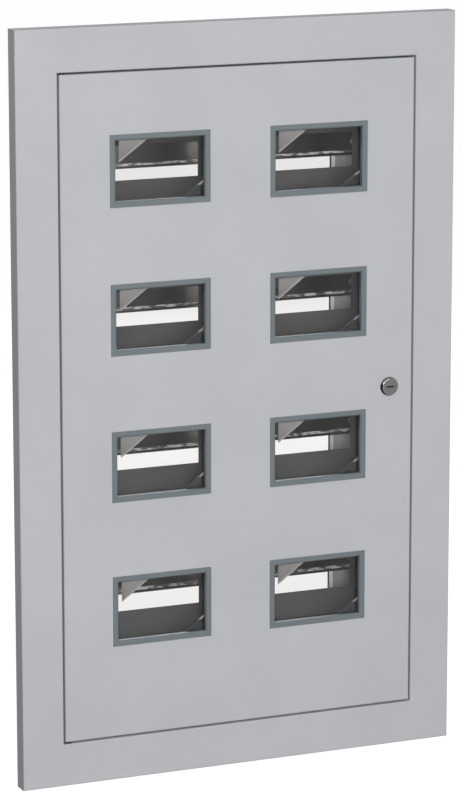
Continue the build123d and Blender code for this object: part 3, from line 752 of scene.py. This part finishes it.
def set_in_places(name, pattern, places, turn=TOWARDS_FRONT):
    """Copies of one modelled pattern at each place, joined, with their place in the mesh."""
    copies = []
    for place in places:
        make_active(pattern)
        bpy.ops.object.duplicate(linked=False)
        copy = bpy.context.active_object
        copy.rotation_euler = (turn, 0.0, 0.0)
        copy.location = place
        copies.append(copy)
    bpy.data.objects.remove(pattern)
    group = join(*copies)
    group.name = name
    group.data.name = name
    bpy.ops.object.transform_apply()
    bpy.ops.object.shade_smooth_by_angle(angle=SMOOTH_ANGLE)
    return group


def stand_for(piece, node, material):
    """Let a modelled piece take a CAD node's place, body and finish."""
    piece.data.materials.clear()
    piece.data.materials.append(material)
    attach(piece, frame["nodes"][node]["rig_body"])
    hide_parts(node)


def finish_named(name):
    """Finish that an earlier step made."""
    material = bpy.data.materials.get(name)
    if material is None:
        raise RuntimeError(f"the finish {name} isn't made yet")
    return material


def stand_in_zinc(piece, node):
    """Let a zinc plated piece take a CAD node's place."""
    stand_for(piece, node, finish_named("zinc_plate"))


def cross_screws(name, node, outline, recess, shank):
    """Cross-recess screws at the places of a CAD node, with a turned head and a thread below it."""
    shape = bpy.context.scene.board_fasteners
    screw = turned(f"{name}_screw", outline, shape.sides)
    carve(screw, cross_blade(recess, shape.recess_depth))
    start = outline[-1][1] + LAP
    length = first_sizes(node)[1] + start
    join(screw, threaded_rod(f"{name}_thread", shank, shape.pitch, start, length))
    return set_in_places(f"{name}_screw_set", screw, front_places(node))


def pan_screws(name, node, head, shank):
    """Pan head screws at the places of a CAD node."""
    radius = first_sizes(node)[0]
    outline = [(across * radius, -down * head) for across, down in PAN_HEAD]
    return cross_screws(name, node, outline, 1.05 * radius, shank)


class BOARD_OT_coat_sheets(bpy.types.Operator):
    """Powder coat on the trim frame, door, body and inner cover"""

    bl_idname = "board.coat_sheets"
    bl_label = "Coat sheet steel"

    def execute(self, context):
        paint = context.scene.board_paint
        dress("grey_paint", powder_coat("front_coat", paint.front, paint))
        # The body and cover coats are darkened in part as painted shade inside the box.
        dress("body_paint", powder_coat("body_coat", paint.body, paint))
        dress("fascia_paint", powder_coat("cover_coat", paint.cover, paint))
        return {"FINISHED"}


class BOARD_OT_glaze_windows(bpy.types.Operator):
    """Bezels, panes and clips of the windows"""

    bl_idname = "board.glaze_windows"
    bl_label = "Glaze windows"

    def execute(self, context):
        glazing = context.scene.board_glazing
        dress("bezel_plastic", moulded("bezel_plastic", glazing.bezel, roughness=0.45))
        dress("pane", clear_sheet("clear_pane", glazing.pane, glazing.pane_ior))
        dress("clip_steel", clip_sheet("clip_sheet", glazing))
        return {"FINISHED"}


class BOARD_OT_finish_fittings(bpy.types.Operator):
    """Plated, brass, rubber and plastic fittings inside the board"""

    bl_idname = "board.finish_fittings"
    bl_label = "Finish fittings"

    def execute(self, context):
        metal = context.scene.board_metal
        along = (0.06, 1.0, 1.0)
        dress("zinc_steel", plated("zinc_plate", metal.zinc, roughness=0.34))
        dress("rail_steel", rail_with_painted_highlight("rail_plate", metal, along))
        # Painted shade: the pivot pins are near black so that the door's gaps look shaded.
        dress("pivot_steel", plated("blackened_pivot", metal.pivot, roughness=0.45))
        dress("brass", plated("machined_brass", metal.brass, roughness=0.30, stretch=along))
        dress("edge_trim", trim_with_painted_shade("trim_extrusion", metal.trim, metal.trim_painted_shade))
        dress("seal_rubber", foam_rubber("seal_foam", metal.seal))
        # Painted shade: the nylon washer is near black so that the door's gaps look shaded.
        dress("nylon", moulded("nylon", metal.nylon, roughness=0.5))
        dress("insulator", moulded("blue_insulator", metal.insulator, roughness=0.42))
        return {"FINISHED"}


class BOARD_OT_finish_lock(bpy.types.Operator):
    """Chrome with painted reflection on the lock's body, and satin metal of its plug"""

    bl_idname = "board.finish_lock"
    bl_label = "Finish lock"

    def execute(self, context):
        metal = context.scene.board_metal
        lo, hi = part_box("lock_housing")
        front = on_axis(lo, hi, lo.y)
        dress("lock_chrome", chrome_with_painted_dark_side("chrome_head", metal, front))
        dress("lock_plug_metal", turned_face("satin_plug", metal.plug, roughness=0.34, centre=front))
        return {"FINISHED"}


class BOARD_OT_lock_body(bpy.types.Operator):
    """Domed head of the lock on its threaded, flatted barrel"""

    bl_idname = "board.lock_body"
    bl_label = "Lock body"

    def execute(self, context):
        shape = context.scene.board_fasteners
        lo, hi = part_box("lock_housing")
        cap_lo, cap_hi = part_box("lock_plug")
        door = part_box("door_panel")[0].y
        radius, height, length = (hi.x - lo.x) / 2, door - lo.y, hi.y - door
        sides, steps, overlap = 2 * shape.sides, 12, 0.0005
        dome = []
        for step in range(steps + 1):
            angle = math.pi / 2 * step / steps
            reach = (radius - shape.lock_rim) * math.sin(angle)
            dome.append((shape.lock_rim + reach, height * math.cos(angle)))
        head = turned("lock_head", dome, sides)
        thread = shape.lock_barrel - shape.lock_play
        barrel = threaded_rod("lock_thread", thread, shape.stud_pitch, overlap, length + overlap)
        flats = new_piece("lock_flats", bpy.ops.mesh.primitive_cube_add, size=1.0)
        bpy.ops.transform.resize(value=(4.0 * shape.lock_barrel, shape.lock_flats, 4.0 * length))
        close_edit()
        carve(barrel, flats, "INTERSECT")
        join(head, barrel)
        recess, inner = (cap_hi.x - cap_lo.x) / 2 + shape.lock_play, shape.lock_bore
        seat, end = height - shape.lock_seat, -length - PAST
        stepped = [(recess, height + PAST), (recess, seat), (inner, seat), (inner, end)]
        carve(head, turned("plug_bore", stepped, sides))
        group = set_in_places("lock_body", head, [on_axis(lo, hi, door)])
        stand_for(group, "lock_housing", finish_named("chrome_head"))
        return {"FINISHED"}


class BOARD_OT_key_shutter(bpy.types.Operator):
    """Sprung shutter behind the key slot"""

    bl_idname = "board.key_shutter"
    bl_label = "Key shutter"

    def execute(self, context):
        lo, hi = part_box("lock_plug")
        width, height, thickness, recess = 0.0103, 0.0018, 0.0006, 0.0016
        bevel, land, dish = 0.0003, 0.0002, 0.0004
        shutter = new_piece("key_shutter", bpy.ops.mesh.primitive_cube_add, size=1.0)
        bpy.ops.transform.resize(value=(width, thickness, height))
        select_faces(lambda face: face.normal.y < -FACING)
        bpy.ops.mesh.inset(thickness=bevel, depth=0.0)
        bpy.ops.transform.translate(value=(0.0, -bevel, 0.0))
        bpy.ops.mesh.inset(thickness=land, depth=0.0)
        bpy.ops.transform.translate(value=(0.0, dish, 0.0))
        bpy.ops.mesh.select_all(action="SELECT")
        bpy.ops.transform.translate(value=on_axis(lo, hi, lo.y + recess))
        close_edit()
        # Painted shade: the shutter takes a near black colour so the key slot looks shaded.
        metal = context.scene.board_metal
        shutter.data.materials.append(plated("shutter_steel", metal.shutter, roughness=0.4))
        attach(shutter, "lock")
        return {"FINISHED"}


class BOARD_OT_frame_screws(bpy.types.Operator):
    """Countersunk cross-recess screws round the door stop"""

    bl_idname = "board.frame_screws"
    bl_label = "Frame screws"

    def execute(self, context):
        shape = context.scene.board_fasteners
        node = "frame_screws"
        head = first_sizes(node)[0]
        shank, cone, edge, neck = shape.frame_shank, shape.frame_cone, 0.0002, 0.001
        outline = [(head, 0.0), (head, -edge), (shank, -cone), (shank, -cone - neck)]
        stand_in_zinc(cross_screws("frame", node, outline, 1.1 * head, shank), node)
        return {"FINISHED"}


class BOARD_OT_frame_nuts(bpy.types.Operator):
    """Chamfered nuts on the frame screws"""

    bl_idname = "board.frame_nuts"
    bl_label = "Frame nuts"

    def execute(self, context):
        shape = context.scene.board_fasteners
        node = "frame_nuts"
        corner, height = first_sizes(node)
        nut = chamfered_hexagon("frame_nut", corner * math.sqrt(3.0), height, shape.sides)
        bore(nut, shape.frame_shank, height, shape.sides)
        rear = [place + Vector((0.0, height, 0.0)) for place in front_places(node)]
        stand_in_zinc(set_in_places("frame_nut_set", nut, rear, TOWARDS_BACK), node)
        return {"FINISHED"}


class BOARD_OT_cover_screws(bpy.types.Operator):
    """Pan head screws of the inner cover"""

    bl_idname = "board.cover_screws"
    bl_label = "Cover screws"

    def execute(self, context):
        shape = context.scene.board_fasteners
        node = "fascia_screws"
        stand_in_zinc(pan_screws("cover", node, shape.cover_head, shape.cover_shank), node)
        return {"FINISHED"}


class BOARD_OT_rail_screws(bpy.types.Operator):
    """Pan head screws at the ends of the rails"""

    bl_idname = "board.rail_screws"
    bl_label = "Rail screws"

    def execute(self, context):
        shape = context.scene.board_fasteners
        node = "rail_screws"
        # Painted shade: the rail screws take the darker rail colour so that their heads stay dark at the
        # rails' ends.
        painted_shade_zinc = plated("dull_zinc", context.scene.board_metal.rail, roughness=0.5)
        group = pan_screws("rail", node, shape.rail_head, shape.rail_shank)
        stand_for(group, node, painted_shade_zinc)
        return {"FINISHED"}


class BOARD_OT_terminal_screws(bpy.types.Operator):
    """Slotted screws of the neutral and earth bars"""

    bl_idname = "board.terminal_screws"
    bl_label = "Terminal screws"

    def execute(self, context):
        shape = context.scene.board_fasteners
        node = "bar_screws"
        radius, height = first_sizes(node)
        edge = 0.12 * radius
        outline = [(radius - edge, 0.0), (radius, -edge), (radius, -height)]
        screw = turned("terminal_screw", outline, shape.sides)
        carve(screw, slot_blade(3.0 * radius, shape.slot_width, shape.slot_depth))
        group = set_in_places("terminal_screw_set", screw, front_places(node))
        stand_for(group, node, finish_named("machined_brass"))
        return {"FINISHED"}


class BOARD_OT_earth_terminals(bpy.types.Operator):
    """Threaded earth studs of the body and door, with washer and nut"""

    bl_idname = "board.earth_terminals"
    bl_label = "Earth terminals"

    def execute(self, context):
        shape = context.scene.board_fasteners
        for node, turn in (("body_earth_stud", TOWARDS_FRONT), ("door_earth_stud", TOWARDS_BACK)):
            clamp_box, (lo, hi) = sorted(solid_boxes(node), key=lambda box: box[1].y - box[0].y)
            clamp, stud = clamp_box[1] - clamp_box[0], hi - lo
            pattern = threaded_rod("earth_thread", stud.x / 2, shape.stud_pitch, 0.0, stud.y)
            seat, rim = -stud.y, 0.0003
            face = seat + shape.washer_height
            outline = [(clamp.x / 2 - rim, face), (clamp.x / 2, face - rim), (clamp.x / 2, seat)]
            plate = turned("earth_washer", outline, shape.sides)
            nut_height = clamp.y - shape.washer_height
            block = chamfered_hexagon("earth_nut", shape.nut_flats * stud.x, nut_height, shape.sides)
            block.location.z = face + nut_height
            make_active(block)
            bpy.ops.object.transform_apply()
            join(pattern, plate, block)
            tip = lo.y if turn == TOWARDS_FRONT else hi.y
            places = [on_axis(lo, hi, tip)]
            stand_in_zinc(set_in_places(node.replace("stud", "terminal"), pattern, places, turn), node)
        return {"FINISHED"}


class BOARD_OT_lock_fasteners(bpy.types.Operator):
    """Nut of the lock and bolt of its cam"""

    bl_idname = "board.lock_fasteners"
    bl_label = "Lock fasteners"

    def execute(self, context):
        shape = context.scene.board_fasteners
        lo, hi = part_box("lock_nut")
        height = hi.y - lo.y
        nut = chamfered_hexagon("lock_nut_blank", hi.z - lo.z, height, shape.sides)
        bore(nut, shape.lock_barrel, height, 2 * shape.sides)
        ring = set_in_places("lock_ring_nut", nut, [on_axis(lo, hi, hi.y)], TOWARDS_BACK)
        stand_in_zinc(ring, "lock_nut")
        lo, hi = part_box("cam_screw")
        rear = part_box("lock_cam")[1].y
        head = chamfered_hexagon("cam_bolt_head", hi.z - lo.z, hi.y - rear, shape.sides)
        start, length = rear - hi.y + LAP, rear - lo.y
        join(head, threaded_rod("cam_thread", shape.frame_shank, shape.pitch, start, length))
        bolt = set_in_places("cam_bolt", head, [on_axis(lo, hi, hi.y)], TOWARDS_BACK)
        stand_in_zinc(bolt, "cam_screw")
        return {"FINISHED"}


def seen_white(tree):
    """1 for rays that show the background: from the camera, off gloss or through glass.

    A ray that met a matt surface on its way isn't one of them.
    """
    path = tree.nodes.new("ShaderNodeLightPath")
    seen = path.outputs["Is Camera Ray"]
    for name in ("Is Glossy Ray", "Is Transmission Ray"):
        seen = calculate(tree, "MAXIMUM", seen, path.outputs[name])
    straight = calculate(tree, "LESS_THAN", path.outputs["Diffuse Depth"], 0.5)
    return calculate(tree, "MULTIPLY", seen, straight)


def studio_world(ambient):
    """White surroundings that light the board at a plain level."""
    world = bpy.data.worlds.new("studio")
    bpy.context.scene.world = world
    world.use_nodes = True
    tree = world.node_tree
    soft = tree.nodes["Background"]
    soft.inputs["Color"].default_value = WHITE
    soft.inputs["Strength"].default_value = ambient
    white = tree.nodes.new("ShaderNodeBackground")
    white.inputs["Color"].default_value = WHITE
    shown = mix_shaders(tree, seen_white(tree), soft.outputs[0], white.outputs[0])
    tree.links.new(shown, tree.nodes["World Output"].inputs["Surface"])


def floor_finish(colour, glow, shade):
    """Pale floor that shows white with the board's soft shadow."""
    material, tree, shader = new_finish("pale_floor", colour, roughness=0.9)
    white = tree.nodes.new("ShaderNodeEmission")
    white.inputs["Color"].default_value = WHITE
    white.inputs["Strength"].default_value = glow
    lit = tree.nodes.new("ShaderNodeBsdfDiffuse")
    lit.inputs["Color"].default_value = (shade, shade, shade, 1.0)
    both = tree.nodes.new("ShaderNodeAddShader")
    tree.links.new(white.outputs[0], both.inputs[0])
    tree.links.new(lit.outputs[0], both.inputs[1])
    shown = mix_shaders(tree, seen_white(tree), shader.outputs[0], both.outputs[0])
    tree.links.new(shown, tree.nodes["Material Output"].inputs["Surface"])
    return material


def direction(azimuth, elevation):
    """Unit vector from the board; azimuth 0 is in front and turns to the right."""
    flat = math.cos(elevation)
    return Vector((math.sin(azimuth) * flat, -math.cos(azimuth) * flat, math.sin(elevation)))


def aim(back):
    """Rotation that looks against a direction."""
    return (-back).to_track_quat("-Z", "Y").to_euler()


def soft_light(name, target, azimuth, elevation, distance, size, level):
    """Square lamp that lights a facing white surface at the target to a level."""
    back = direction(math.radians(azimuth), math.radians(elevation))
    bpy.ops.object.light_add(type="AREA", location=target + back * distance, rotation=aim(back))
    lamp = bpy.context.active_object
    lamp.name = name
    lamp.data.size = size
    lamp.data.energy = level * (math.pi * distance) ** 2


class BOARD_OT_studio(bpy.types.Operator):
    """Floor, lights, world and camera"""

    bl_idname = "board.studio"
    bl_label = "Studio"

    def execute(self, context):
        studio = context.scene.board_studio
        lo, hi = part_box("front_frame")
        target = on_axis(lo, hi, lo.y)
        floor = new_piece("floor", bpy.ops.mesh.primitive_plane_add, size=studio.floor_size)
        bpy.ops.transform.translate(value=(0.0, 0.0, lo.z - studio.floor_drop))
        object_mode()
        floor.data.materials.append(floor_finish(studio.floor, studio.floor_glow, studio.floor_shade))
        studio_world(studio.ambient)
        for name, lamp in LAMPS.items():
            soft_light(f"{name}_light", target, *lamp, getattr(studio, name))
        back = direction(studio.azimuth, studio.elevation)
        bpy.ops.object.camera_add(location=target + back * studio.distance, rotation=aim(back))
        camera = bpy.context.active_object
        camera.data.sensor_width = 36.0
        camera.data.lens = studio.lens
        camera.data.shift_x = studio.shift_x
        camera.data.shift_y = studio.shift_y
        context.scene.camera = camera
        context.scene.view_settings.view_transform = "Standard"
        return {"FINISHED"}


class BOARD_PT_looks(bpy.types.Panel):
    """Lists the steps that dress the board"""

    bl_idname = "BOARD_PT_looks"
    bl_label = "Board looks"
    bl_space_type = "VIEW_3D"
    bl_region_type = "UI"
    bl_category = "Board"

    def draw(self, context):
        for step in STEPS:
            self.layout.operator(step.bl_idname)
        for pointer in POINTERS:
            box = self.layout.box()
            group = getattr(context.scene, pointer)
            for name in group.bl_rna.properties.keys():
                if name not in ("rna_type", "name"):
                    box.prop(group, name)


STEPS = (
    BOARD_OT_coat_sheets,
    BOARD_OT_glaze_windows,
    BOARD_OT_finish_fittings,
    BOARD_OT_finish_lock,
    BOARD_OT_lock_body,
    BOARD_OT_key_shutter,
    BOARD_OT_frame_screws,
    BOARD_OT_frame_nuts,
    BOARD_OT_cover_screws,
    BOARD_OT_rail_screws,
    BOARD_OT_terminal_screws,
    BOARD_OT_earth_terminals,
    BOARD_OT_lock_fasteners,
    BOARD_OT_studio,
)

POINTERS = {
    "board_paint": BoardPaint,
    "board_glazing": BoardGlazing,
    "board_metal": BoardMetal,
    "board_fasteners": BoardFasteners,
    "board_studio": BoardStudio,
}


def register():
    for pointer, group in POINTERS.items():
        bpy.utils.register_class(group)
        setattr(bpy.types.Scene, pointer, PointerProperty(type=group))
    for step in STEPS:
        bpy.utils.register_class(step)
    bpy.utils.register_class(BOARD_PT_looks)


def unregister():
    bpy.utils.unregister_class(BOARD_PT_looks)
    for step in reversed(STEPS):
        bpy.utils.unregister_class(step)
    for pointer, group in reversed(POINTERS.items()):
        delattr(bpy.types.Scene, pointer)
        bpy.utils.unregister_class(group)


def main():
    """Dress the board step by step."""
    register()
    bpy.ops.board.coat_sheets()
    bpy.ops.board.glaze_windows()
    bpy.ops.board.finish_fittings()
    bpy.ops.board.finish_lock()
    bpy.ops.board.lock_body()
    bpy.ops.board.key_shutter()
    bpy.ops.board.frame_screws()
    bpy.ops.board.frame_nuts()
    bpy.ops.board.cover_screws()
    bpy.ops.board.rail_screws()
    bpy.ops.board.terminal_screws()
    bpy.ops.board.earth_terminals()
    bpy.ops.board.lock_fasteners()
    bpy.ops.board.studio()


if __name__ == "__main__":
    main()
